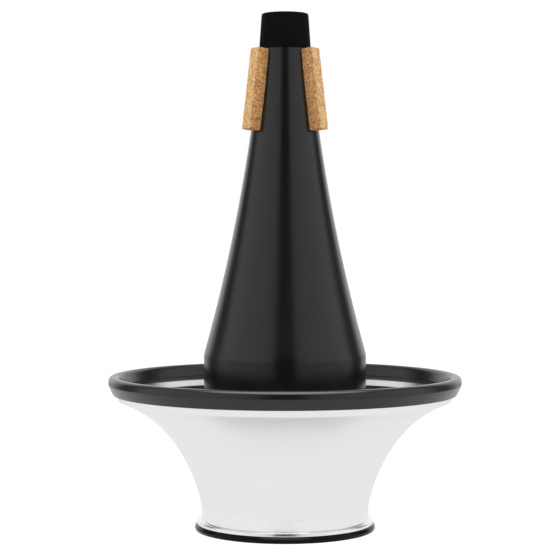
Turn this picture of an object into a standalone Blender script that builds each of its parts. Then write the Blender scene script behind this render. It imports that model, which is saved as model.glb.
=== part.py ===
"""Cup mute for a bass trombone: a lacquered straight mute with an adjustable metal cup on it.

Units are metres and +Z is up. The mute stands on its wide end, with its axis on the Z axis.
"""

import math

import bmesh
import bpy

# Clearances and rounding
GAP = 0.0003
ROUND_STEPS = 48
ARC_POINTS = 4
MERGE_DISTANCE = 0.00005

# Straight mute: the cone, its shoulder and the cylinder that the cup slides on
TIP_HEIGHT = 0.2920
TIP_RADIUS = 0.0124
SHOULDER_HEIGHT = 0.1000
SHOULDER_ROUNDING = 0.0150
CYLINDER_RADIUS = 0.0463
CONE_STRAIGHTNESS = 0.42
CONE_STATIONS = 10
BODY_WALL = 0.0011
FOOT_FLANGE_WIDTH = 0.0011

# End plate, pressed into the wide end
PLATE_THICKNESS = 0.0010
PLATE_FLANGE_HEIGHT = 0.0080
PLATE_CORNER = 0.0020
PLATE_RIM_WIDTH = 0.0054
PLATE_RECESS_DEPTH = 0.0030
PLATE_STEP_WIDTH = 0.0030

# Sleeve on the nose
SLEEVE_LENGTH = 0.0200
SLEEVE_TOP_RADIUS = 0.0133
SLEEVE_FOOT_RADIUS = 0.0147
SLEEVE_LIP = 0.0014
SLEEVE_BORE_RADIUS = 0.0096
SLEEVE_TOP_ROUNDING = 0.0009
SLEEVE_FOOT_ROUNDING = 0.0002

# Cork strips, whose outer edge rises over the sleeve's foot, by the direction that each one faces
CORK_TOP_RISE = 0.0003
CORK_HEIGHT = 0.0462
CORK_WIDTH = 0.0096
CORK_THICKNESS = 0.00645
CORK_ROOT = 0.0030
CORK_EDGE = 0.0006
CORK_EDGE_STEPS = 2
CORK_DIRECTIONS = {
    "cork_front_left": math.radians(-150),
    "cork_front_right": math.radians(-30),
    "cork_back": math.radians(90),
}

# Cup: neck, flare and upturned lip
CUP_WALL = 0.0011
NECK_CLEARANCE = 0.00045
NECK_TOP_HEIGHT = 0.0130
FLARE_START_PULL = 0.0030
FLARE_END_PULL = 0.0402
FLARE_END_SLOPE = math.radians(19.1)
FLARE_STATIONS = 13
CREASE_RADIUS = 0.0948
CREASE_HEIGHT = 0.0740
CREASE_ROUNDING = 0.0023
LIP_LENGTH = 0.00915
LIP_SLOPE = math.radians(70)

# Bead at the foot of the neck
BEAD_TOP_HEIGHT = 0.0059
BEAD_FOOT_HEIGHT = 0.0036
BEAD_WIDTH = 0.0025

# Grip ring under the bead
RING_SHOULDER = 0.0003
RING_BELLY = 0.0013
RING_FOOT = 0.0009
RING_EDGE = 0.0005

# Rubber trim on the lip, measured along the lip and away from its outer face
TRIM_OUTER_FOOT = 0.0044
TRIM_OUTER_FOOT_THICKNESS = 0.0017
TRIM_BROW = 0.01097
TRIM_BROW_THICKNESS = 0.0023
TRIM_CROWN = 0.01502
TRIM_CROWN_THICKNESS = 0.00039
TRIM_INNER_CROWN = 0.01319
TRIM_INNER_CROWN_THICKNESS = 0.00464
TRIM_INNER_FOOT = 0.0045
TRIM_INNER_FOOT_THICKNESS = 0.0022
TRIM_INNER_SWELL = 0.0058
TRIM_INNER_SWELL_THICKNESS = 0.0046
TRIM_FOOT_ROUNDING = 0.0004
TRIM_BROW_ROUNDING = 0.0018
TRIM_CROWN_ROUNDING = 0.0031
TRIM_INNER_ROUNDING = 0.0029
TRIM_SWELL_ROUNDING = 0.0012

# Sizes that follow from the ones above
RING_BORE_RADIUS = CYLINDER_RADIUS + GAP
NECK_RADIUS = CYLINDER_RADIUS + NECK_CLEARANCE + CUP_WALL
BEAD_RADIUS = NECK_RADIUS + BEAD_WIDTH
SLEEVE_TOP_HEIGHT = TIP_HEIGHT + GAP + SLEEVE_LIP
SLEEVE_FOOT_HEIGHT = SLEEVE_TOP_HEIGHT - SLEEVE_LENGTH


def cone_radius(height):
    """Outer radius of the cone, which widens faster towards the shoulder."""
    down = (TIP_HEIGHT - height) / (TIP_HEIGHT - SHOULDER_HEIGHT)
    share = CONE_STRAIGHTNESS * down + (1 - CONE_STRAIGHTNESS) * down**2
    return TIP_RADIUS + (CYLINDER_RADIUS - TIP_RADIUS) * share


def cone_outline(offset):
    """Points down the cone, held off its surface by an offset."""
    points = []
    for station in range(CONE_STATIONS + 1):
        down = station / CONE_STATIONS
        height = TIP_HEIGHT + (SHOULDER_HEIGHT - TIP_HEIGHT) * down
        points.append((cone_radius(height) + offset, height))
    return points


def bezier(start, first_pull, second_pull, end, count):
    """Points of a cubic curve in the plane, with its ends."""
    points = []
    for station in range(count + 1):
        t = station / count
        weights = ((1 - t) ** 3, 3 * t * (1 - t) ** 2, 3 * t**2 * (1 - t), t**3)
        controls = (start, first_pull, second_pull, end)
        radius = sum(w * p[0] for w, p in zip(weights, controls))
        height = sum(w * p[1] for w, p in zip(weights, controls))
        points.append((radius, height))
    return points


def arc_at_corner(before, corner, after, radius):
    """Points of the arc that rounds the corner between two straight runs."""
    into = (before[0] - corner[0], before[1] - corner[1])
    out = (after[0] - corner[0], after[1] - corner[1])
    into_length = math.hypot(*into)
    out_length = math.hypot(*out)
    a = (into[0] / into_length, into[1] / into_length)
    b = (out[0] / out_length, out[1] / out_length)
    half = math.acos(max(-1.0, min(1.0, a[0] * b[0] + a[1] * b[1]))) / 2
    reach = min(radius / math.tan(half), into_length / 2, out_length / 2)
    radius = reach * math.tan(half)
    bisector = (a[0] + b[0], a[1] + b[1])
    scale = radius / math.sin(half) / math.hypot(*bisector)
    centre = (corner[0] + bisector[0] * scale, corner[1] + bisector[1] * scale)
    start = (corner[0] + a[0] * reach, corner[1] + a[1] * reach)
    end = (corner[0] + b[0] * reach, corner[1] + b[1] * reach)
    first = math.atan2(start[1] - centre[1], start[0] - centre[0])
    turn = math.atan2(end[1] - centre[1], end[0] - centre[0]) - first
    turn = (turn + math.pi) % (2 * math.pi) - math.pi
    points = []
    for station in range(ARC_POINTS + 1):
        angle = first + turn * station / ARC_POINTS
        points.append((centre[0] + radius * math.cos(angle), centre[1] + radius * math.sin(angle)))
    return points


def rounded(corners, closed):
    """An outline of (radius, height, rounding) corners, with an arc at each rounded one."""
    points = []
    count = len(corners)
    for index, (x, z, rounding) in enumerate(corners):
        at_end = not closed and index in (0, count - 1)
        if rounding == 0 or at_end:
            points.append((x, z))
            continue
        before = corners[index - 1][:2]
        after = corners[(index + 1) % count][:2]
        points.extend(arc_at_corner(before, (x, z), after, rounding))
    return points


def sharp(points):
    """The points as corners without rounding."""
    return [(x, z, 0) for x, z in points]


def make_material(name, colour, roughness, metallic):
    """A Principled BSDF material."""
    material = bpy.data.materials.new(name)
    material.use_nodes = True
    shader = material.node_tree.nodes["Principled BSDF"]
    shader.inputs["Base Color"].default_value = (*colour, 1)
    shader.inputs["Roughness"].default_value = roughness
    shader.inputs["Metallic"].default_value = metallic
    return material


def turned(name, outline, closed, collection, material):
    """A turned shape: the outline in the XZ plane, turned round the Z axis."""
    count = len(outline)
    edges = [(index, index + 1) for index in range(count - 1)]
    if closed:
        edges.append((count - 1, 0))
    mesh = bpy.data.meshes.new(name)
    mesh.from_pydata([(x, 0, z) for x, z in outline], edges, [])
    if material:
        mesh.materials.append(material)
    turned_object = bpy.data.objects.new(name, mesh)
    collection.objects.link(turned_object)
    screw = turned_object.modifiers.new("Turn", "SCREW")
    screw.axis = "Z"
    screw.angle = 2 * math.pi
    screw.steps = ROUND_STEPS
    screw.render_steps = ROUND_STEPS
    screw.use_merge_vertices = True
    screw.merge_threshold = MERGE_DISTANCE
    screw.use_smooth_shade = True
    return turned_object


def add_wall(shell, thickness):
    """Give an open surface its wall, on the side away from its normals."""
    solidify = shell.modifiers.new("Wall", "SOLIDIFY")
    solidify.thickness = thickness
    solidify.offset = -1
    solidify.use_even_offset = True


def make_cone_shell(collection, material):
    """The straight mute's body: cone, shoulder, cylinder and a foot turned outwards."""
    corners = sharp(cone_outline(0)[:-1])
    corners.append((CYLINDER_RADIUS, SHOULDER_HEIGHT, SHOULDER_ROUNDING))
    corners.append((CYLINDER_RADIUS, BODY_WALL, 0))
    corners.append((CYLINDER_RADIUS + FOOT_FLANGE_WIDTH, BODY_WALL, 0))
    shell = turned("cone_shell", rounded(corners, False), False, collection, material)
    add_wall(shell, BODY_WALL)


def make_end_plate(collection, material):
    """The plate that closes the wide end, with its flange inside the cylinder."""
    radius = CYLINDER_RADIUS - BODY_WALL - GAP
    rim_inner = radius - PLATE_RIM_WIDTH
    corners = [
        (radius, PLATE_FLANGE_HEIGHT, 0),
        (radius, 0, PLATE_CORNER),
        (rim_inner, 0, 0),
        (rim_inner - PLATE_STEP_WIDTH, PLATE_RECESS_DEPTH, 0),
        (0, PLATE_RECESS_DEPTH, 0),
    ]
    plate = turned("end_plate", rounded(corners, False), False, collection, material)
    add_wall(plate, PLATE_THICKNESS)


def make_nose_sleeve(collection, material):
    """The sleeve on the nose, with a lip over the cone's edge."""
    lip_under = TIP_HEIGHT + GAP
    corners = [
        (SLEEVE_BORE_RADIUS, SLEEVE_TOP_HEIGHT, 0),
        (SLEEVE_TOP_RADIUS, SLEEVE_TOP_HEIGHT, SLEEVE_TOP_ROUNDING),
        (SLEEVE_FOOT_RADIUS, SLEEVE_FOOT_HEIGHT, SLEEVE_FOOT_ROUNDING),
        (cone_radius(SLEEVE_FOOT_HEIGHT) + GAP, SLEEVE_FOOT_HEIGHT, 0),
        (TIP_RADIUS + GAP, lip_under, 0),
        (SLEEVE_BORE_RADIUS, lip_under, 0),
    ]
    turned("nose_sleeve", rounded(corners, True), True, collection, material)


def make_cone_cutter(collection):
    """A solid cone that cuts the corks' inner faces to the body, with the gap."""
    outline = [(0, TIP_HEIGHT)] + cone_outline(GAP) + [(0, SHOULDER_HEIGHT)]
    cutter = turned("cone_cutter", outline, False, collection, None)
    cutter.hide_render = True
    cutter.display_type = "WIRE"
    return cutter


def make_cork(name, direction, cutter, collection, material):
    """One cork strip: a flat-faced block that leans with the cone."""
    top = SLEEVE_FOOT_HEIGHT + CORK_TOP_RISE
    foot = top - CORK_HEIGHT
    top_face = cone_radius(top) + CORK_THICKNESS
    foot_face = cone_radius(foot) + CORK_THICKNESS
    lean = math.atan2(foot_face - top_face, CORK_HEIGHT)
    depth = CORK_THICKNESS + CORK_ROOT
    length = CORK_HEIGHT / math.cos(lean)
    radius = (top_face + foot_face) / 2 - depth / 2 * math.cos(lean)
    height = (top + foot) / 2 - depth / 2 * math.sin(lean)

    block = bmesh.new()
    bmesh.ops.create_cube(block, size=1)
    bmesh.ops.scale(block, vec=(depth, CORK_WIDTH, length), verts=block.verts)
    mesh = bpy.data.meshes.new(name)
    block.to_mesh(mesh)
    block.free()
    mesh.materials.append(material)
    cork = bpy.data.objects.new(name, mesh)
    collection.objects.link(cork)
    cork.location = (radius * math.cos(direction), radius * math.sin(direction), height)
    cork.rotation_euler = (0, -lean, direction)

    bevel = cork.modifiers.new("Edges", "BEVEL")
    bevel.width = CORK_EDGE
    bevel.segments = CORK_EDGE_STEPS
    seat = cork.modifiers.new("Seat", "BOOLEAN")
    seat.operation = "DIFFERENCE"
    seat.solver = "EXACT"
    seat.object = cutter


def make_cup_shell(collection, material):
    """The cup: upturned lip, flare, neck and a square bead at the foot."""
    lip_radius = CREASE_RADIUS + LIP_LENGTH * math.cos(LIP_SLOPE)
    lip_height = CREASE_HEIGHT + LIP_LENGTH * math.sin(LIP_SLOPE)
    crease = (CREASE_RADIUS, CREASE_HEIGHT)
    crease_pull = (
        CREASE_RADIUS - FLARE_END_PULL * math.cos(FLARE_END_SLOPE),
        CREASE_HEIGHT - FLARE_END_PULL * math.sin(FLARE_END_SLOPE),
    )
    neck_pull = (NECK_RADIUS, NECK_TOP_HEIGHT + FLARE_START_PULL)
    neck_top = (NECK_RADIUS, NECK_TOP_HEIGHT)
    flare = bezier(crease, crease_pull, neck_pull, neck_top, FLARE_STATIONS)
    corners = [(lip_radius, lip_height, 0), (*crease, CREASE_ROUNDING)]
    corners.extend(sharp(flare[1:]))
    corners.append((NECK_RADIUS, BEAD_TOP_HEIGHT, 0))
    corners.append((BEAD_RADIUS, BEAD_TOP_HEIGHT, 0))
    corners.append((BEAD_RADIUS, BEAD_FOOT_HEIGHT, 0))
    cup = turned("cup_shell", rounded(corners, False), False, collection, material)
    add_wall(cup, CUP_WALL)
    return cup


def make_grip_ring(collection, material):
    """The rubber ring that fills the bead, grips the cylinder and carries the cup."""
    shelf_height = BEAD_FOOT_HEIGHT - GAP
    core_radius = BEAD_RADIUS - CUP_WALL - GAP
    core_height = BEAD_TOP_HEIGHT - CUP_WALL - GAP
    flange_radius = CYLINDER_RADIUS + FOOT_FLANGE_WIDTH + GAP
    flange_height = BODY_WALL + GAP
    corners = [
        (core_radius, shelf_height, 0),
        (BEAD_RADIUS + RING_SHOULDER, shelf_height, RING_EDGE),
        (BEAD_RADIUS + RING_BELLY, (shelf_height + GAP) / 2, RING_BELLY),
        (BEAD_RADIUS + RING_FOOT, GAP, RING_EDGE),
        (flange_radius, GAP, 0),
        (flange_radius, flange_height, 0),
        (RING_BORE_RADIUS, flange_height, 0),
        (RING_BORE_RADIUS, core_height, 0),
        (core_radius, core_height, 0),
    ]
    return turned("neck_grip_ring", rounded(corners, True), True, collection, material)


def along_lip(along, away, rounding):
    """A corner placed by its way along the lip and its distance from the lip's outer face."""
    radius = CREASE_RADIUS + along * math.cos(LIP_SLOPE) + away * math.sin(LIP_SLOPE)
    height = CREASE_HEIGHT + along * math.sin(LIP_SLOPE) - away * math.cos(LIP_SLOPE)
    return (radius, height, rounding)


def make_rim_trim(collection, material):
    """The rubber channel on the lip, with a slot for the metal."""
    slot_top = LIP_LENGTH + GAP
    slot_inner = -(CUP_WALL + GAP)
    corners = [
        along_lip(TRIM_INNER_CROWN, -TRIM_INNER_CROWN_THICKNESS, TRIM_INNER_ROUNDING),
        along_lip(TRIM_CROWN, TRIM_CROWN_THICKNESS, TRIM_CROWN_ROUNDING),
        along_lip(TRIM_BROW, TRIM_BROW_THICKNESS, TRIM_BROW_ROUNDING),
        along_lip(TRIM_OUTER_FOOT, TRIM_OUTER_FOOT_THICKNESS, TRIM_FOOT_ROUNDING),
        along_lip(TRIM_OUTER_FOOT, GAP, 0),
        along_lip(slot_top, GAP, 0),
        along_lip(slot_top, slot_inner, 0),
        along_lip(TRIM_INNER_FOOT, slot_inner, 0),
        along_lip(TRIM_INNER_FOOT, -TRIM_INNER_FOOT_THICKNESS, TRIM_FOOT_ROUNDING),
        along_lip(TRIM_INNER_SWELL, -TRIM_INNER_SWELL_THICKNESS, TRIM_SWELL_ROUNDING),
    ]
    return turned("cup_rim_trim", rounded(corners, True), True, collection, material)


def main():
    for old in list(bpy.data.objects):
        bpy.data.objects.remove(old, do_unlink=True)
    parts = bpy.data.collections.new("cup_mute")
    cutters = bpy.data.collections.new("cutters")
    bpy.context.scene.collection.children.link(parts)
    bpy.context.scene.collection.children.link(cutters)

    lacquer = make_material("black_lacquer", (0.008, 0.008, 0.009), 0.12, 0.0)
    aluminium = make_material("satin_aluminium", (0.80, 0.80, 0.81), 0.30, 1.0)
    rubber = make_material("black_rubber", (0.012, 0.012, 0.012), 0.55, 0.0)
    cork = make_material("cork", (0.50, 0.31, 0.15), 0.85, 0.0)

    make_cone_shell(parts, lacquer)
    make_end_plate(parts, lacquer)
    make_nose_sleeve(parts, rubber)
    cutter = make_cone_cutter(cutters)
    for name, direction in CORK_DIRECTIONS.items():
        make_cork(name, direction, cutter, parts, cork)

    # The cup's pieces slide and turn on the mute's axis
    cup_axis = bpy.data.objects.new("cup_axis", None)
    parts.objects.link(cup_axis)
    cup_pieces = (
        make_grip_ring(parts, rubber),
        make_cup_shell(parts, aluminium),
        make_rim_trim(parts, rubber),
    )
    for piece in cup_pieces:
        piece.parent = cup_axis


main()
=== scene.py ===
import math

import bmesh
import bpy
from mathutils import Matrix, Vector, noise


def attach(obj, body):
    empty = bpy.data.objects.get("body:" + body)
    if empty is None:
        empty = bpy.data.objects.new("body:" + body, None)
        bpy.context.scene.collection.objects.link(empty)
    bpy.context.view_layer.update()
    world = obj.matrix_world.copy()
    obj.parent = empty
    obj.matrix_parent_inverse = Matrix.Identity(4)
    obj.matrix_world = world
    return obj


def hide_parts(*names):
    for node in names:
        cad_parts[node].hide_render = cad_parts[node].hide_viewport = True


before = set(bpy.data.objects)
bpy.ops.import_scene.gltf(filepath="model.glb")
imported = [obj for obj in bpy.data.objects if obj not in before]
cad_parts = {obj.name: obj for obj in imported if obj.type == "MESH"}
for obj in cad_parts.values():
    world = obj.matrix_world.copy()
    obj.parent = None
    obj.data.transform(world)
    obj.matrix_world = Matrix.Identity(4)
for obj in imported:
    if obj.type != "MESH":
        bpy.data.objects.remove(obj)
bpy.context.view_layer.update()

collection = bpy.context.scene.collection

# How fine the curves are, and when an edge counts as sharp
SEGMENTS = 256
ARC_POINTS = 7
SHARP_ANGLE = math.radians(40)
WELD_DISTANCE = 1e-6
RAMP_MIDDLE = 0.5
MILLIMETRES = 1000

# Sizes in metres. GAP keeps pieces apart, and SKIN_GAP is left where one piece covers another
GAP = 0.0003
SKIN_GAP = 0.0001

TIP_HEIGHT = 0.2920
TIP_RADIUS = 0.0124
SHOULDER_HEIGHT = 0.1000
SHOULDER_ROUNDING = 0.0150
CYLINDER_RADIUS = 0.0463
CONE_STRAIGHTNESS = 0.42
CONE_STATIONS = 48
BODY_WALL = 0.0011
TIP_ROUNDING = 0.0003
FOOT_FLANGE_WIDTH = 0.0011
FOOT_CREASE_ROUNDING = 0.0003
FOOT_EDGE_ROUNDING = 0.0004
FOOT_INNER_ROUNDING = 0.0010

PLATE_THICKNESS = 0.0010
PLATE_FLANGE_HEIGHT = 0.0080
PLATE_CORNER = 0.0020
PLATE_RIM_WIDTH = 0.0054
PLATE_RECESS_DEPTH = 0.0030
PLATE_STEP_WIDTH = 0.0030
PLATE_STEP_ROUNDING = 0.0015
PLATE_CENTRE_RADIUS = 0.0002

SLEEVE_TOP_HEIGHT = 0.2937
SLEEVE_FOOT_HEIGHT = 0.2737
SLEEVE_TOP_RADIUS = 0.0133
SLEEVE_FOOT_RADIUS = 0.0147
SLEEVE_BORE_RADIUS = 0.0096
SLEEVE_BORE_ROUNDING = 0.0005
SLEEVE_TOP_ROUNDING = 0.0009
SLEEVE_FOOT_ROUNDING = 0.0002

CORK_TOP_RISE = 0.0003
CORK_HEIGHT = 0.0462
CORK_WIDTH = 0.0096
CORK_THICKNESS = 0.00645
CORK_ROOT = 0.0030
CORK_EDGE = 0.0007
CORK_EDGE_STEPS = 3
CORK_EDGE_PROFILE = 0.5
CORK_VOXEL = 0.00035
CORK_WEAR = 0.0005
CORK_SEED_STEPS = (31.7, 17.3, 5.9)
CORK_SWELL = 0.00010
CORK_SWELL_PITCH = 0.8
CORK_PIT = 0.00055
CORK_PIT_PITCH = 1.7
CORK_PIT_LEVEL = 0.28
CORK_SHRINK = 0.00006
CORK_SEAT_GAP = 0.00008
CORK_DIRECTIONS = {
    "cork_front_left": math.radians(-150),
    "cork_front_right": math.radians(-30),
    "cork_back": math.radians(90),
}

CUP_WALL = 0.0011
NECK_CLEARANCE = 0.00045
NECK_RADIUS = CYLINDER_RADIUS + NECK_CLEARANCE + CUP_WALL
NECK_TOP_HEIGHT = 0.0130
FLARE_START_PULL = 0.0030
FLARE_END_PULL = 0.0402
FLARE_END_SLOPE = math.radians(19.1)
FLARE_STATIONS = 48
FLARE_FIRST_STATION = 2
CREASE_RADIUS = 0.0948
CREASE_HEIGHT = 0.0740
CREASE_ROUNDING = 0.0023
LIP_LENGTH = 0.00915
LIP_SLOPE = math.radians(70)
BEAD_TOP_HEIGHT = 0.0059
BEAD_FOOT_HEIGHT = 0.0036
BEAD_WIDTH = 0.0025
BEAD_RADIUS = NECK_RADIUS + BEAD_WIDTH
BEAD_ROUNDING = 0.0008
BEAD_SLANT = 0.0003
BEAD_CREASE_ROUNDING = 0.0003
BEAD_FOOT_ROUNDING = 0.0002

RING_SHOULDER = 0.0003
RING_BELLY = 0.0013
RING_FOOT = 0.0009
RING_EDGE = 0.0005
RING_UNDERSIDE = 0.00005
RING_INNER_ROUNDING = 0.0002

TRIM_OUTER_FOOT = 0.0044
TRIM_OUTER_FOOT_THICKNESS = 0.0017
TRIM_FOOT_ROUNDING = 0.0004
TRIM_BROW = 0.01097
TRIM_BROW_THICKNESS = 0.0023
TRIM_BROW_ROUNDING = 0.0018
TRIM_CROWN = 0.01502
TRIM_CROWN_THICKNESS = 0.00039
TRIM_CROWN_ROUNDING = 0.0031
TRIM_INNER_CROWN = 0.01319
TRIM_INNER_CROWN_THICKNESS = 0.00464
TRIM_INNER_ROUNDING = 0.0029
TRIM_INNER_FOOT = 0.0045
TRIM_INNER_FOOT_THICKNESS = 0.0022
TRIM_INNER_SWELL = 0.0058
TRIM_INNER_SWELL_THICKNESS = 0.0046
TRIM_SWELL_ROUNDING = 0.0012


def cone_radius(height):
    """Outer radius of the cone, which widens faster towards the shoulder."""
    down = (TIP_HEIGHT - height) / (TIP_HEIGHT - SHOULDER_HEIGHT)
    share = CONE_STRAIGHTNESS * down + (1 - CONE_STRAIGHTNESS) * down**2
    return TIP_RADIUS + (CYLINDER_RADIUS - TIP_RADIUS) * share


def cone_corners(offset):
    """Corners down the cone, held off its surface by an offset."""
    corners = []
    for station in range(CONE_STATIONS + 1):
        height = TIP_HEIGHT + (SHOULDER_HEIGHT - TIP_HEIGHT) * station / CONE_STATIONS
        corners.append((cone_radius(height) + offset, height, 0))
    return corners


def bezier(start, first_pull, second_pull, end, count):
    """Points of a cubic curve in the plane, with its ends."""
    points = []
    for station in range(count + 1):
        t = station / count
        weights = ((1 - t) ** 3, 3 * t * (1 - t) ** 2, 3 * t**2 * (1 - t), t**3)
        controls = (start, first_pull, second_pull, end)
        points.append(tuple(sum(w * p[axis] for w, p in zip(weights, controls)) for axis in (0, 1)))
    return points


def arc_at_corner(before, corner, after, radius):
    """Points of the arc that rounds the corner between two straight runs."""
    corner = Vector(corner)
    into = Vector(before) - corner
    out = Vector(after) - corner
    half = into.angle(out) / 2
    reach = min(radius / math.tan(half), into.length / 2, out.length / 2)
    radius = reach * math.tan(half)
    centre = corner + (into.normalized() + out.normalized()).normalized() * radius / math.sin(half)
    start = corner + into.normalized() * reach - centre
    end = corner + out.normalized() * reach - centre
    first = math.atan2(start.y, start.x)
    turn = (math.atan2(end.y, end.x) - first + math.pi) % (2 * math.pi) - math.pi
    points = []
    for station in range(ARC_POINTS + 1):
        angle = first + turn * station / ARC_POINTS
        points.append((centre.x + radius * math.cos(angle), centre.y + radius * math.sin(angle)))
    return points


def rounded(corners):
    """A closed outline of (radius, height, rounding) corners, with an arc at each rounded one."""
    points = []
    for index, (x, z, rounding) in enumerate(corners):
        if rounding == 0:
            points.append((x, z))
            continue
        before = corners[index - 1][:2]
        after = corners[(index + 1) % len(corners)][:2]
        points.extend(arc_at_corner(before, (x, z), after, rounding))
    return points


def inner_side(points, thickness):
    """The points moved square to their line by a thickness, in the opposite order."""
    moved = []
    for index, point in enumerate(points):
        before = Vector(points[max(index - 1, 0)])
        after = Vector(points[min(index + 1, len(points) - 1)])
        along = (after - before).normalized()
        moved.append((point[0] + along.y * thickness, point[1] - along.x * thickness))
    return moved[::-1]


def finish_mesh(name, build, body, material, replaced):
    """Make an object of a bmesh, with its material, body and the CAD node it stands for."""
    mesh = bpy.data.meshes.new(name)
    bmesh.ops.recalc_face_normals(build, faces=build.faces)
    build.to_mesh(mesh)
    build.free()
    mesh.materials.append(material)
    mesh.shade_smooth()
    mesh.set_sharp_from_angle(angle=SHARP_ANGLE)
    piece = bpy.data.objects.new(name, mesh)
    collection.objects.link(piece)
    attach(piece, body)
    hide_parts(replaced)


def turned(name, outline, body, material, replaced):
    """A closed outline turned round the Z axis."""
    build = bmesh.new()
    rings = []
    for segment in range(SEGMENTS):
        angle = 2 * math.pi * segment / SEGMENTS
        ring = []
        for x, z in outline:
            ring.append(build.verts.new((x * math.cos(angle), x * math.sin(angle), z)))
        rings.append(ring)
    for segment, ring in enumerate(rings):
        following = rings[(segment + 1) % SEGMENTS]
        for index in range(len(outline)):
            after = (index + 1) % len(outline)
            build.faces.new((ring[index], following[index], following[after], ring[after]))
    bmesh.ops.remove_doubles(build, verts=build.verts, dist=WELD_DISTANCE)
    finish_mesh(name, build, body, material, replaced)


# Materials: node helpers

def new_material(name):
    """A material with its node tree and its shader."""
    material = bpy.data.materials.new(name)
    material.use_nodes = True
    return material, material.node_tree, material.node_tree.nodes["Principled BSDF"]


def add_node(tree, kind, inputs=None, **settings):
    """A node with its settings, and each input set to a value or linked to a socket."""
    node = tree.nodes.new(kind)
    for key, value in settings.items():
        setattr(node, key, value)
    for key, value in (inputs or {}).items():
        if isinstance(value, bpy.types.NodeSocket):
            tree.links.new(value, node.inputs[key])
        else:
            node.inputs[key].default_value = value
    return node


def ramp(tree, factor, stops):
    """A colour ramp from (position, colour) stops. A number stands for a grey."""
    node = add_node(tree, "ShaderNodeValToRGB", {"Fac": factor})
    elements = node.color_ramp.elements
    while len(elements) < len(stops):
        elements.new(RAMP_MIDDLE)
    for element, (position, colour) in zip(elements, stops):
        if not isinstance(colour, tuple):
            colour = (colour, colour, colour)
        element.position = position
        element.color = (*colour, 1)
    return node.outputs["Color"]


def grey(level):
    """A grey colour with its alpha."""
    return (level, level, level, 1)


def number_of(tree, operation, *values):
    """The result of a sum on numbers."""
    return add_node(tree, "ShaderNodeMath", dict(enumerate(values)), operation=operation).outputs[0]


def vector_of(tree, operation, *values):
    """The vector result of a sum on vectors."""
    node = add_node(tree, "ShaderNodeVectorMath", dict(enumerate(values)), operation=operation)
    return node.outputs["Vector"]


def scaled(tree, vector, scale):
    """A vector times a number."""
    node = add_node(tree, "ShaderNodeVectorMath", {0: vector, "Scale": scale}, operation="SCALE")
    return node.outputs["Vector"]


def length_of(tree, vector):
    """The length of a vector."""
    return add_node(tree, "ShaderNodeVectorMath", {0: vector}, operation="LENGTH").outputs["Value"]


def axes_of(tree, vector):
    """The X, Y and Z outputs of a vector."""
    return add_node(tree, "ShaderNodeSeparateXYZ", {"Vector": vector}).outputs


def number_mix(tree, share, first, second):
    """The mix of two numbers."""
    return add_node(tree, "ShaderNodeMix", {0: share, 2: first, 3: second}).outputs[0]


def colour_mix(tree, share, first, second, blend_type="MIX"):
    """The mix of two colours."""
    inputs = {0: share, 6: first, 7: second}
    node = add_node(tree, "ShaderNodeMix", inputs, data_type="RGBA", blend_type=blend_type)
    return node.outputs[2]


def object_point(tree):
    """The point on the surface, in the object's own metres."""
    return add_node(tree, "ShaderNodeTexCoord").outputs["Object"]


def object_normal(tree):
    """The direction in which the surface faces, in the object's own axes."""
    return add_node(tree, "ShaderNodeTexCoord").outputs["Normal"]


def ring_point(tree, around):
    """Coordinates for marks that run round the Z axis: fine across the rings, slow along them."""
    parts = axes_of(tree, object_point(tree))
    flat = add_node(tree, "ShaderNodeCombineXYZ", {"X": parts["X"], "Y": parts["Y"]}).outputs[0]
    slow = scaled(tree, vector_of(tree, "NORMALIZE", flat), around)
    fine = number_of(tree, "ADD", length_of(tree, flat), parts["Z"])
    lift = add_node(tree, "ShaderNodeCombineXYZ", {"Z": fine}).outputs[0]
    return vector_of(tree, "ADD", slow, lift)


def noise_value(tree, vector, scale, detail=2.0, roughness=0.5):
    """A noise from 0 to 1."""
    inputs = {"Vector": vector, "Scale": scale, "Detail": detail, "Roughness": roughness}
    return add_node(tree, "ShaderNodeTexNoise", inputs).outputs["Fac"]


def bump(tree, shader, height, distance, strength):
    """Let a height disturb the shader's normal."""
    inputs = {"Height": height, "Distance": distance, "Strength": strength}
    node = add_node(tree, "ShaderNodeBump", inputs)
    tree.links.new(node.outputs["Normal"], shader.inputs["Normal"])


# Materials: colours, finishes and the scales of their marks per metre

LACQUER_COLOUR = (0.0035, 0.0035, 0.0038, 1)
LACQUER_SMUDGE_SCALE = 38.0
LACQUER_SMUDGE_DETAIL = 4.0
LACQUER_ROUGHNESS = [(0.35, 0.19), (0.70, 0.24)]
LACQUER_PEEL_SCALE = 900.0
LACQUER_PEEL_DETAIL = 1.0
LACQUER_PEEL_DEPTH = 0.000004
LACQUER_PEEL_STRENGTH = 0.5

METAL_LINE_AROUND = 0.010
METAL_LINE_SCALE = 2600.0
METAL_LINE_DETAIL = 3.0
METAL_LINE_CONTRAST = 0.7
METAL_LINE_SHARE = 0.35
METAL_LINE_DEPTH = 0.000004
METAL_LINE_STRENGTH = 0.6
METAL_CLOUD_SCALE = 30.0
METAL_CLOUD_DETAIL = 3.0
METAL_COLOUR = [(0.30, (0.86, 0.863, 0.865)), (0.70, (0.91, 0.912, 0.915))]
METAL_ROUGHNESS = [(0.30, 0.34), (0.70, 0.42)]

# Finishes by height, as shares of the neck's span and of the cup's span
NECK_SPAN = 0.020
CUP_SPAN = 0.100
BEAD_POLISH = [(0.50, 0.45), (0.80, 1.0)]
ABOVE_BEAD = [(0.34, 0.0), (0.40, 1.0)]
BELOW_LIP = [(0.58, 1.0), (0.68, 0.0)]

# Finishes of the inside, which is where the metal faces up, and painted shade that darkens its colour
# there
INSIDE_POLISH = [(0.04, 1.0), (0.16, 0.40)]
INSIDE_PAINTED_SHADE = [(0.04, 1.0), (0.16, 0.82)]
INSIDE_SHARE = [(0.04, 0.0), (0.16, 1.0)]

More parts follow.
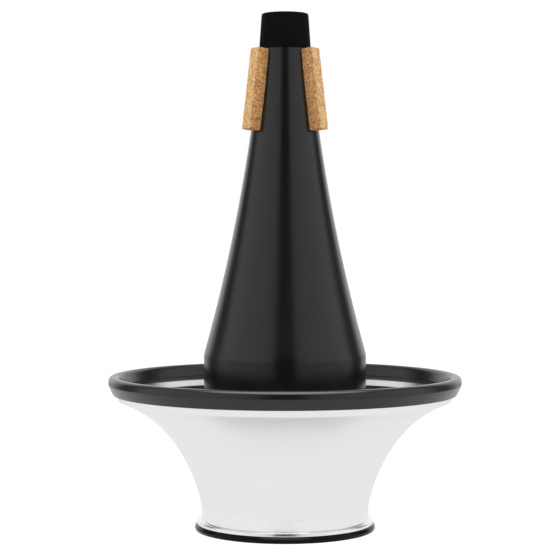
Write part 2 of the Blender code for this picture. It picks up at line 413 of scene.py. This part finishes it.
RUBBER_SHADE_SCALE = 60.0
RUBBER_SHADE_DETAIL = 4.0
RUBBER_DARKER = 0.8
RUBBER_LIGHTER = 1.25
RUBBER_WEAR_SCALE = 180.0
RUBBER_WEAR_DETAIL = 5.0
RUBBER_GRAIN_SCALE = 2600.0
RUBBER_GRAIN_DETAIL = 2.0
RUBBER_GRAIN_STRENGTH = 0.6
RUBBER_LOW = 0.3
RUBBER_HIGH = 0.7

CORK_WOBBLE_SCALE = 900.0
CORK_WOBBLE_DETAIL = 2.0
CORK_WOBBLE_REACH = 0.0005
CORK_GRANULE_SCALE = 1150.0
CORK_FINE_SCALE = 2400.0
CORK_FINE_DETAIL = 4.0
CORK_FINE_CONTRAST = 0.65
CORK_FINE_SHARE = 0.40
CORK_BROWNS = [
    (0.15, (0.33, 0.150, 0.048)),
    (0.40, (0.56, 0.315, 0.120)),
    (0.62, (0.68, 0.425, 0.190)),
    (0.88, (0.84, 0.600, 0.330)),
]
# Painted shade: the cork's sides are darker and browner than its outward face
CORK_SIDE_PAINTED_SHADE = [(0.35, (0.98, 0.80, 0.64)), (0.75, (1.0, 1.0, 1.0))]
CORK_SEAMS = [(0.0, 1.0), (0.07, 0.0)]
CORK_SEAM_SHARE = 0.45
CORK_SPECK_SCALE = 1500.0
CORK_SPECK_DETAIL = 2.0
CORK_SPECKS = [(0.60, 0.0), (0.68, 1.0)]
CORK_DARK_SHARE = 0.75
CORK_DARK = (0.16, 0.07, 0.025, 1)
CORK_ROUGHNESS = 0.85
CORK_GRAIN_DEPTH = 0.00025
CORK_GRAIN_STRENGTH = 0.8


def lacquer_material():
    """Gloss black lacquer, with a faint orange peel and a few handling marks."""
    material, tree, shader = new_material("black_lacquer")
    point = object_point(tree)
    shader.inputs["Base Color"].default_value = LACQUER_COLOUR
    smudge = noise_value(tree, point, LACQUER_SMUDGE_SCALE, LACQUER_SMUDGE_DETAIL)
    tree.links.new(ramp(tree, smudge, LACQUER_ROUGHNESS), shader.inputs["Roughness"])
    peel = noise_value(tree, point, LACQUER_PEEL_SCALE, LACQUER_PEEL_DETAIL)
    bump(tree, shader, peel, LACQUER_PEEL_DEPTH, LACQUER_PEEL_STRENGTH)
    return material


def aluminium_material():
    """Spun aluminium: fine rings from the lathe over satin. The bead and the lip's inside are smoother.
    The inside's colour is darkened as painted shade.
    """
    material, tree, shader = new_material("satin_aluminium")
    shader.inputs["Metallic"].default_value = 1.0
    rings = ring_point(tree, METAL_LINE_AROUND)
    lines = noise_value(tree, rings, METAL_LINE_SCALE, METAL_LINE_DETAIL, METAL_LINE_CONTRAST)
    clouds = noise_value(tree, object_point(tree), METAL_CLOUD_SCALE, METAL_CLOUD_DETAIL)
    roughness = ramp(tree, number_mix(tree, METAL_LINE_SHARE, clouds, lines), METAL_ROUGHNESS)

    height = axes_of(tree, object_point(tree))["Z"]
    neck_height = number_of(tree, "MULTIPLY", height, 1 / NECK_SPAN)
    cup_height = number_of(tree, "MULTIPLY", height, 1 / CUP_SPAN)
    above_bead = ramp(tree, neck_height, ABOVE_BEAD)
    facing_up = number_of(tree, "MULTIPLY", axes_of(tree, object_normal(tree))["Z"], above_bead)

    # Painted shade: the colour is darkened where the metal faces up inside the cup
    shade = ramp(tree, facing_up, INSIDE_PAINTED_SHADE)
    colour = colour_mix(tree, 1.0, ramp(tree, lines, METAL_COLOUR), shade, "MULTIPLY")
    tree.links.new(colour, shader.inputs["Base Color"])

    bead_polish = ramp(tree, neck_height, BEAD_POLISH)
    polish = number_of(tree, "MINIMUM", bead_polish, ramp(tree, facing_up, INSIDE_POLISH))
    inside = ramp(tree, facing_up, INSIDE_SHARE)
    satin = number_of(tree, "MULTIPLY_ADD", inside, ramp(tree, cup_height, BELOW_LIP), polish)
    tree.links.new(number_of(tree, "MULTIPLY", roughness, satin), shader.inputs["Roughness"])
    bump(tree, shader, lines, METAL_LINE_DEPTH, METAL_LINE_STRENGTH)
    return material


def rubber_material(name, colour, roughness_low, roughness_high, grain_depth, shine):
    """Black rubber with a fine moulded grain and slight shine changes."""
    material, tree, shader = new_material(name)
    shader.inputs["Specular IOR Level"].default_value = shine
    point = object_point(tree)
    shade = noise_value(tree, point, RUBBER_SHADE_SCALE, RUBBER_SHADE_DETAIL)
    greys = [(RUBBER_LOW, colour * RUBBER_DARKER), (RUBBER_HIGH, colour * RUBBER_LIGHTER)]
    tree.links.new(ramp(tree, shade, greys), shader.inputs["Base Color"])
    wear = noise_value(tree, point, RUBBER_WEAR_SCALE, RUBBER_WEAR_DETAIL)
    finishes = [(RUBBER_LOW, roughness_low), (RUBBER_HIGH, roughness_high)]
    tree.links.new(ramp(tree, wear, finishes), shader.inputs["Roughness"])
    grain = noise_value(tree, point, RUBBER_GRAIN_SCALE, RUBBER_GRAIN_DETAIL)
    bump(tree, shader, grain, grain_depth, RUBBER_GRAIN_STRENGTH)
    return material


def cork_side_painted_shade(tree, point):
    """Painted shade: white where the cork faces out from the mute, and darker and browner on its sides,
    which face across.
    """
    level = vector_of(tree, "NORMALIZE", vector_of(tree, "MULTIPLY", point, (1, 1, 0)))
    inputs = {0: object_normal(tree), 1: level}
    facing = add_node(tree, "ShaderNodeVectorMath", inputs, operation="DOT_PRODUCT")
    return ramp(tree, facing.outputs["Value"], CORK_SIDE_PAINTED_SHADE)


def cork_material():
    """Agglomerated cork: pressed granules of unlike browns, dark seams and pits."""
    material, tree, shader = new_material("cork")
    point = object_point(tree)
    inputs = {"Vector": point, "Scale": CORK_WOBBLE_SCALE, "Detail": CORK_WOBBLE_DETAIL}
    wobble = add_node(tree, "ShaderNodeTexNoise", inputs).outputs["Color"]
    bent = vector_of(tree, "ADD", point, scaled(tree, wobble, CORK_WOBBLE_REACH))
    inputs = {"Vector": bent, "Scale": CORK_GRANULE_SCALE}
    granules = add_node(tree, "ShaderNodeTexVoronoi", inputs).outputs["Color"]
    granule_tone = add_node(tree, "ShaderNodeSeparateColor", {"Color": granules}).outputs[0]
    edges = add_node(tree, "ShaderNodeTexVoronoi", inputs, feature="DISTANCE_TO_EDGE")
    fine = noise_value(tree, point, CORK_FINE_SCALE, CORK_FINE_DETAIL, CORK_FINE_CONTRAST)

    base = ramp(tree, number_mix(tree, CORK_FINE_SHARE, granule_tone, fine), CORK_BROWNS)
    # Painted shade darkens the cork's sides
    base = colour_mix(tree, 1.0, base, cork_side_painted_shade(tree, point), "MULTIPLY")
    seams = ramp(tree, edges.outputs["Distance"], CORK_SEAMS)
    specks = ramp(tree, noise_value(tree, point, CORK_SPECK_SCALE, CORK_SPECK_DETAIL), CORK_SPECKS)
    dark = number_of(tree, "MAXIMUM", number_of(tree, "MULTIPLY", seams, CORK_SEAM_SHARE), specks)
    amount = number_of(tree, "MULTIPLY", dark, CORK_DARK_SHARE)
    tree.links.new(colour_mix(tree, amount, base, CORK_DARK), shader.inputs["Base Color"])
    shader.inputs["Roughness"].default_value = CORK_ROUGHNESS
    height = number_of(tree, "SUBTRACT", fine, dark)
    bump(tree, shader, height, CORK_GRAIN_DEPTH, CORK_GRAIN_STRENGTH)
    return material


LACQUER = lacquer_material()
CUP_METAL = aluminium_material()
SLEEVE_RUBBER = rubber_material("matt_rubber", 0.0016, 0.60, 0.80, 0.00003, 0.06)
TRIM_RUBBER = rubber_material("trim_rubber", 0.007, 0.18, 0.26, 0.000006, 0.5)
RING_RUBBER = rubber_material("ring_rubber", 0.003, 0.10, 0.18, 0.000006, 0.12)
CORK = cork_material()


# Pieces

def make_body():
    """Cone, shoulder, cylinder and turned-out foot of the straight mute."""
    outer = CYLINDER_RADIUS
    corners = [
        (TIP_RADIUS - BODY_WALL, TIP_HEIGHT, TIP_ROUNDING),
        (TIP_RADIUS, TIP_HEIGHT, TIP_ROUNDING),
    ]
    corners.extend(cone_corners(0)[1:-1])
    corners.append((outer, SHOULDER_HEIGHT, SHOULDER_ROUNDING))
    corners.append((outer, BODY_WALL, FOOT_CREASE_ROUNDING))
    corners.append((outer + FOOT_FLANGE_WIDTH, BODY_WALL, FOOT_EDGE_ROUNDING))
    corners.append((outer + FOOT_FLANGE_WIDTH, 0, FOOT_EDGE_ROUNDING))
    corners.append((outer - BODY_WALL, 0, FOOT_INNER_ROUNDING))
    corners.append((outer - BODY_WALL, SHOULDER_HEIGHT, SHOULDER_ROUNDING))
    corners.extend(cone_corners(-BODY_WALL)[-2:0:-1])
    turned("body_shell", rounded(corners), "straight_mute", LACQUER, "cone_shell")


def make_end_plate():
    """The pressed plate in the wide end, with a flange, a rim and a shallow recess."""
    radius = CYLINDER_RADIUS - BODY_WALL - GAP
    rim_inner = radius - PLATE_RIM_WIDTH
    corners = [
        (radius, PLATE_FLANGE_HEIGHT, 0),
        (radius, 0, PLATE_CORNER),
        (rim_inner, 0, PLATE_STEP_ROUNDING),
        (rim_inner - PLATE_STEP_WIDTH, PLATE_RECESS_DEPTH, PLATE_STEP_ROUNDING),
        (PLATE_CENTRE_RADIUS, PLATE_RECESS_DEPTH, 0),
    ]
    line = rounded(corners)
    outline = line + inner_side(line, PLATE_THICKNESS)
    turned("end_plate_pressed", outline, "straight_mute", LACQUER, "end_plate")


def make_sleeve():
    """The rubber sleeve on the nose, with a rounded mouth."""
    lip_under = TIP_HEIGHT + GAP
    corners = [
        (SLEEVE_BORE_RADIUS, SLEEVE_TOP_HEIGHT, SLEEVE_BORE_ROUNDING),
        (SLEEVE_TOP_RADIUS, SLEEVE_TOP_HEIGHT, SLEEVE_TOP_ROUNDING),
        (SLEEVE_FOOT_RADIUS, SLEEVE_FOOT_HEIGHT, SLEEVE_FOOT_ROUNDING),
        (cone_radius(SLEEVE_FOOT_HEIGHT) + SKIN_GAP, SLEEVE_FOOT_HEIGHT, 0),
        (TIP_RADIUS + SKIN_GAP, lip_under, 0),
        (SLEEVE_BORE_RADIUS, lip_under, SLEEVE_BORE_ROUNDING),
    ]
    turned("nose_rubber", rounded(corners), "straight_mute", SLEEVE_RUBBER, "nose_sleeve")


def cork_frame():
    """Sizes and place of a cork strip before it turns to its direction."""
    top = SLEEVE_FOOT_HEIGHT + CORK_TOP_RISE
    foot = top - CORK_HEIGHT
    top_face = cone_radius(top) + CORK_THICKNESS
    foot_face = cone_radius(foot) + CORK_THICKNESS
    lean = math.atan2(foot_face - top_face, CORK_HEIGHT)
    depth = CORK_THICKNESS + CORK_ROOT
    length = CORK_HEIGHT / math.cos(lean)
    radius = (top_face + foot_face) / 2 - depth / 2 * math.cos(lean)
    height = (top + foot) / 2 - depth / 2 * math.sin(lean)
    return lean, depth, length, radius, height


def cork_block(name, depth, length):
    """A bmesh of a cork strip's block with rounded edges, in faces small enough for its grain."""
    block = bmesh.new()
    bmesh.ops.create_cube(block, size=1)
    bmesh.ops.scale(block, vec=(depth, CORK_WIDTH, length), verts=block.verts)
    bmesh.ops.bevel(
        block,
        geom=block.edges[:],
        offset=CORK_EDGE,
        segments=CORK_EDGE_STEPS,
        profile=CORK_EDGE_PROFILE,
        affect="EDGES",
    )
    mesh = bpy.data.meshes.new(name)
    block.to_mesh(mesh)
    block.free()
    blank = bpy.data.objects.new(name + "_blank", mesh)
    collection.objects.link(blank)
    remesh = blank.modifiers.new("Grain", "REMESH")
    remesh.mode = "VOXEL"
    remesh.voxel_size = CORK_VOXEL
    evaluated = blank.evaluated_get(bpy.context.evaluated_depsgraph_get())
    build = bmesh.new()
    build.from_mesh(evaluated.to_mesh())
    evaluated.to_mesh_clear()
    bpy.data.objects.remove(blank, do_unlink=True)
    return build


def make_cork(name, direction, seed):
    """A cork strip with worn edges, granules and pits, seated on the cone and thinner at its top."""
    lean, depth, length, radius, height = cork_frame()
    build = cork_block(name, depth, length)
    cos_turn = math.cos(direction)
    sin_turn = math.sin(direction)
    for vertex in build.verts:
        spot = vertex.co * MILLIMETRES + Vector([seed * step for step in CORK_SEED_STEPS])
        swell = noise.noise(spot * CORK_SWELL_PITCH) * CORK_SWELL
        pit = max(0.0, noise.noise(spot * CORK_PIT_PITCH) - CORK_PIT_LEVEL) * CORK_PIT
        vertex.co += vertex.normal * (swell - pit - CORK_SHRINK)
        worn = CORK_WEAR * (vertex.co.z / length + 0.5)
        vertex.co.x -= worn * (vertex.co.x / depth + 0.5)
        flat = vertex.co.x * math.cos(lean) - vertex.co.z * math.sin(lean) + radius
        up = vertex.co.x * math.sin(lean) + vertex.co.z * math.cos(lean) + height
        seat = math.sqrt(max(cone_radius(up) ** 2 - vertex.co.y**2, 0)) + CORK_SEAT_GAP
        flat = max(flat, seat)
        side = vertex.co.y
        vertex.co = (flat * cos_turn - side * sin_turn, flat * sin_turn + side * cos_turn, up)
    finish_mesh(name + "_strip", build, "straight_mute", CORK, name)


def bead_lines():
    """The bead at the foot of the neck: its outer line going down, and its inner line going up."""
    outer = [
        (NECK_RADIUS, NECK_TOP_HEIGHT, 0),
        (NECK_RADIUS, BEAD_TOP_HEIGHT, BEAD_CREASE_ROUNDING),
        (BEAD_RADIUS - BEAD_SLANT, BEAD_TOP_HEIGHT, BEAD_ROUNDING),
        (BEAD_RADIUS, BEAD_FOOT_HEIGHT, BEAD_FOOT_ROUNDING),
        (BEAD_RADIUS - CUP_WALL, BEAD_FOOT_HEIGHT, BEAD_FOOT_ROUNDING),
        (BEAD_RADIUS - CUP_WALL, BEAD_TOP_HEIGHT - CUP_WALL, 0),
        (NECK_RADIUS - CUP_WALL, BEAD_TOP_HEIGHT - CUP_WALL, 0),
    ]
    return rounded(outer)[1:]


def make_cup():
    """The spun cup: upturned lip, flare, neck and bead."""
    lip_radius = CREASE_RADIUS + LIP_LENGTH * math.cos(LIP_SLOPE)
    lip_height = CREASE_HEIGHT + LIP_LENGTH * math.sin(LIP_SLOPE)
    crease = (CREASE_RADIUS, CREASE_HEIGHT)
    crease_pull = (
        CREASE_RADIUS - FLARE_END_PULL * math.cos(FLARE_END_SLOPE),
        CREASE_HEIGHT - FLARE_END_PULL * math.sin(FLARE_END_SLOPE),
    )
    neck_pull = (NECK_RADIUS, NECK_TOP_HEIGHT + FLARE_START_PULL)
    flare = bezier(crease, crease_pull, neck_pull, (NECK_RADIUS, NECK_TOP_HEIGHT), FLARE_STATIONS)
    flare = flare[FLARE_FIRST_STATION:]
    bend = arc_at_corner((lip_radius, lip_height), crease, flare[0], CREASE_ROUNDING)
    line = [(lip_radius, lip_height)] + bend + flare
    outline = line + bead_lines() + inner_side(line, CUP_WALL)
    turned("cup_spun", outline, "cup", CUP_METAL, "cup_shell")


def make_grip_ring():
    """The rubber ring that fills the bead and bulges out below it."""
    shelf_height = BEAD_FOOT_HEIGHT - SKIN_GAP
    core_radius = BEAD_RADIUS - CUP_WALL - GAP
    core_height = BEAD_TOP_HEIGHT - CUP_WALL - GAP
    flange_radius = CYLINDER_RADIUS + FOOT_FLANGE_WIDTH + GAP
    flange_height = BODY_WALL + GAP
    bore = CYLINDER_RADIUS + GAP
    corners = [
        (core_radius, shelf_height, 0),
        (BEAD_RADIUS + RING_SHOULDER, shelf_height, RING_EDGE),
        (BEAD_RADIUS + RING_BELLY, (shelf_height + RING_UNDERSIDE) / 2, RING_BELLY),
        (BEAD_RADIUS + RING_FOOT, RING_UNDERSIDE, RING_EDGE),
        (flange_radius, RING_UNDERSIDE, RING_INNER_ROUNDING),
        (flange_radius, flange_height, 0),
        (bore, flange_height, 0),
        (bore, core_height, RING_INNER_ROUNDING),
        (core_radius, core_height, 0),
    ]
    turned("grip_ring_rubber", rounded(corners), "grip_ring", RING_RUBBER, "neck_grip_ring")


def along_lip(along, away, rounding):
    """A corner by its way along the lip, its distance from the lip's outer face and its rounding."""
    radius = CREASE_RADIUS + along * math.cos(LIP_SLOPE) + away * math.sin(LIP_SLOPE)
    height = CREASE_HEIGHT + along * math.sin(LIP_SLOPE) - away * math.cos(LIP_SLOPE)
    return (radius, height, rounding)


def make_trim():
    """The rubber channel pushed on the cup's lip."""
    slot_top = LIP_LENGTH + SKIN_GAP
    slot_inner = -(CUP_WALL + SKIN_GAP)
    corners = [
        along_lip(TRIM_INNER_CROWN, -TRIM_INNER_CROWN_THICKNESS, TRIM_INNER_ROUNDING),
        along_lip(TRIM_CROWN, TRIM_CROWN_THICKNESS, TRIM_CROWN_ROUNDING),
        along_lip(TRIM_BROW, TRIM_BROW_THICKNESS, TRIM_BROW_ROUNDING),
        along_lip(TRIM_OUTER_FOOT, TRIM_OUTER_FOOT_THICKNESS, TRIM_FOOT_ROUNDING),
        along_lip(TRIM_OUTER_FOOT, SKIN_GAP, 0),
        along_lip(slot_top, SKIN_GAP, 0),
        along_lip(slot_top, slot_inner, 0),
        along_lip(TRIM_INNER_FOOT, slot_inner, 0),
        along_lip(TRIM_INNER_FOOT, -TRIM_INNER_FOOT_THICKNESS, TRIM_FOOT_ROUNDING),
        along_lip(TRIM_INNER_SWELL, -TRIM_INNER_SWELL_THICKNESS, TRIM_SWELL_ROUNDING),
    ]
    turned("rim_rubber", rounded(corners), "cup", TRIM_RUBBER, "cup_rim_trim")


make_body()
make_end_plate()
make_sleeve()
for number, (cork_name, cork_direction) in enumerate(CORK_DIRECTIONS.items()):
    make_cork(cork_name, cork_direction, number + 1)
make_cup()
make_grip_ring()
make_trim()


# Floor, studio and camera

FLOOR_RADIUS = 30
FLOOR_SEGMENTS = 64
FLOOR_SEEN = 1.21
FLOOR_SEEN_SHARE = 0.75
FLOOR_PAPER = 0.85
FLOOR_NEAR_GLOSS = 0.925
FLOOR_NEAR_GLOSS_SHARE = 0.89
FLOOR_FAR_GLOSS = 0.72
FLOOR_FAR = [(0.30, 0.0), (0.90, 1.0)]

# The room's light: walls by bearing from back to front, then the ceiling by height and depth
WALL_STOPS = [
    (0.085, 1.0),
    (0.130, 0.72),
    (0.175, 0.14),
    (0.290, 0.14),
    (0.370, 0.65),
    (0.415, 0.90),
    (0.500, 0.95),
    (0.750, 0.90),
    (0.885, 0.83),
    (0.945, 0.76),
    (0.970, 0.66),
    (0.980, 0.50),
    (0.990, 0.05),
]
CEILING_HEIGHT = [(0.50, 0.0), (0.74, 1.0)]
CEILING_DEPTH = [(0.44, 0.42), (0.53, 0.46)]
ZENITH_HEIGHT = [(0.76, 0.0), (0.90, 1.0)]
ZENITH = 0.85

# Side lamps light matt surfaces only
SIDE_LAMPS = {"lamp_left": math.radians(-172), "lamp_right": math.radians(-8)}
SIDE_LAMP_SIZE = 1.2
SIDE_LAMP_WATTS = 29
SIDE_LAMP_DISTANCE = 2.0
SIDE_LAMP_HEIGHT = 1.2
SIDE_LAMP_TILT = math.radians(62)

# Upper lamps show in gloss only: name, width, depth, watts, place and tilt
UPPER_LAMPS = (
    ("lamp_overhead", 2.0, 1.7, 32.6, (0, -0.52, 1.5), 0),
    ("lamp_front", 1.6, 0.8, 3.0, (0, -1.0, 1.35), math.radians(38)),
)

CAMERA_LENS = 113.42
CAMERA_SENSOR = 36.0
CAMERA_CLIP_START = 0.05
CAMERA_CLIP_END = 100
CAMERA_PLACE = (-0.00285, -1.00674, 0.17369)
CAMERA_PITCH = math.radians(90 - 1.7809)


def wall_light(tree, direction):
    """The walls' light by bearing: white behind, soft boxes left and right, a dark gap in front."""
    parts = axes_of(tree, direction)
    flat = add_node(tree, "ShaderNodeCombineXYZ", {"X": parts["X"], "Y": parts["Y"]}).outputs[0]
    back = axes_of(tree, vector_of(tree, "NORMALIZE", flat))["Y"]
    return ramp(tree, number_of(tree, "MULTIPLY_ADD", back, -0.5, 0.5), WALL_STOPS)


def floor_material():
    """White paper that keeps the mute's soft shadow. Gloss sees it fade into the walls' light."""
    material, tree, shader = new_material("floor_white")
    tree.nodes.remove(shader)
    path = add_node(tree, "ShaderNodeLightPath").outputs
    point = object_point(tree)
    far = ramp(tree, length_of(tree, point), FLOOR_FAR)
    walls = scaled(tree, wall_light(tree, point), FLOOR_FAR_GLOSS)
    mirrored = colour_mix(tree, far, grey(FLOOR_NEAR_GLOSS), walls)
    shown = colour_mix(tree, path["Is Glossy Ray"], grey(FLOOR_SEEN), mirrored)
    white = add_node(tree, "ShaderNodeEmission", {"Color": shown})
    paper = add_node(tree, "ShaderNodeBsdfDiffuse", {"Color": grey(FLOOR_PAPER)})

    seen = number_of(tree, "MAXIMUM", path["Is Camera Ray"], path["Is Glossy Ray"])
    seen = number_of(tree, "MAXIMUM", seen, path["Is Transmission Ray"])
    gloss_share = number_mix(tree, far, FLOOR_NEAR_GLOSS_SHARE, 1.0)
    whole = number_mix(tree, path["Is Glossy Ray"], FLOOR_SEEN_SHARE, gloss_share)
    share = number_of(tree, "MULTIPLY", seen, whole)
    inputs = {0: share, 1: paper.outputs[0], 2: white.outputs[0]}
    mixed = add_node(tree, "ShaderNodeMixShader", inputs)
    tree.links.new(mixed.outputs[0], tree.nodes["Material Output"].inputs["Surface"])
    return material


def make_floor():
    """The round floor under the mute."""
    mesh = bpy.data.meshes.new("floor")
    build = bmesh.new()
    bmesh.ops.create_circle(build, cap_ends=True, radius=FLOOR_RADIUS, segments=FLOOR_SEGMENTS)
    build.to_mesh(mesh)
    build.free()
    mesh.materials.append(floor_material())
    floor = bpy.data.objects.new("floor", mesh)
    collection.objects.link(floor)


def make_studio():
    """The room round the mute, and white where the camera sees it."""
    world = bpy.data.worlds.new("studio")
    bpy.context.scene.world = world
    world.use_nodes = True
    tree = world.node_tree
    path = add_node(tree, "ShaderNodeLightPath").outputs
    direction = add_node(tree, "ShaderNodeTexCoord").outputs["Generated"]
    parts = axes_of(tree, direction)
    depth = number_of(tree, "MULTIPLY_ADD", parts["Y"], 0.5, 0.5)
    ceiling = ramp(tree, depth, CEILING_DEPTH)
    ceiling = colour_mix(tree, ramp(tree, parts["Z"], ZENITH_HEIGHT), ceiling, grey(ZENITH))
    height = ramp(tree, parts["Z"], CEILING_HEIGHT)
    room = colour_mix(tree, height, wall_light(tree, direction), ceiling)
    shown = colour_mix(tree, path["Is Camera Ray"], room, grey(1))
    background = tree.nodes["Background"]
    tree.links.new(shown, background.inputs["Color"])
    background.inputs["Strength"].default_value = 1.0


def place_lamp(name, shape, width, watts, place, turn):
    """An area lamp that the camera doesn't see."""
    light = bpy.data.lights.new(name, "AREA")
    light.shape = shape
    light.size = width
    light.energy = watts
    lamp = bpy.data.objects.new(name, light)
    collection.objects.link(lamp)
    lamp.location = place
    lamp.rotation_euler = turn
    lamp.visible_camera = False
    return lamp


def make_lamps():
    """Soft lamps at the left and the right, and two overhead."""
    for name, bearing in SIDE_LAMPS.items():
        away_x = SIDE_LAMP_DISTANCE * math.cos(bearing)
        away_y = SIDE_LAMP_DISTANCE * math.sin(bearing)
        place = (away_x, away_y, SIDE_LAMP_HEIGHT)
        turn = (SIDE_LAMP_TILT, 0, bearing + math.radians(90))
        lamp = place_lamp(name, "DISK", SIDE_LAMP_SIZE, SIDE_LAMP_WATTS, place, turn)
        lamp.visible_glossy = False
    for name, width, depth, watts, place, tilt in UPPER_LAMPS:
        lamp = place_lamp(name, "ELLIPSE", width, watts, place, (tilt, 0, 0))
        lamp.data.size_y = depth
        lamp.visible_diffuse = False


def make_camera():
    """The photograph's view: a long lens, a little above the cup's rim."""
    camera = bpy.data.cameras.new("camera")
    camera.lens = CAMERA_LENS
    camera.sensor_width = CAMERA_SENSOR
    camera.clip_start = CAMERA_CLIP_START
    camera.clip_end = CAMERA_CLIP_END
    viewer = bpy.data.objects.new("camera", camera)
    collection.objects.link(viewer)
    viewer.location = CAMERA_PLACE
    viewer.rotation_euler = (CAMERA_PITCH, 0, 0)
    bpy.context.scene.camera = viewer


make_floor()
make_studio()
make_lamps()
make_camera()
bpy.context.scene.view_settings.view_transform = "Standard"
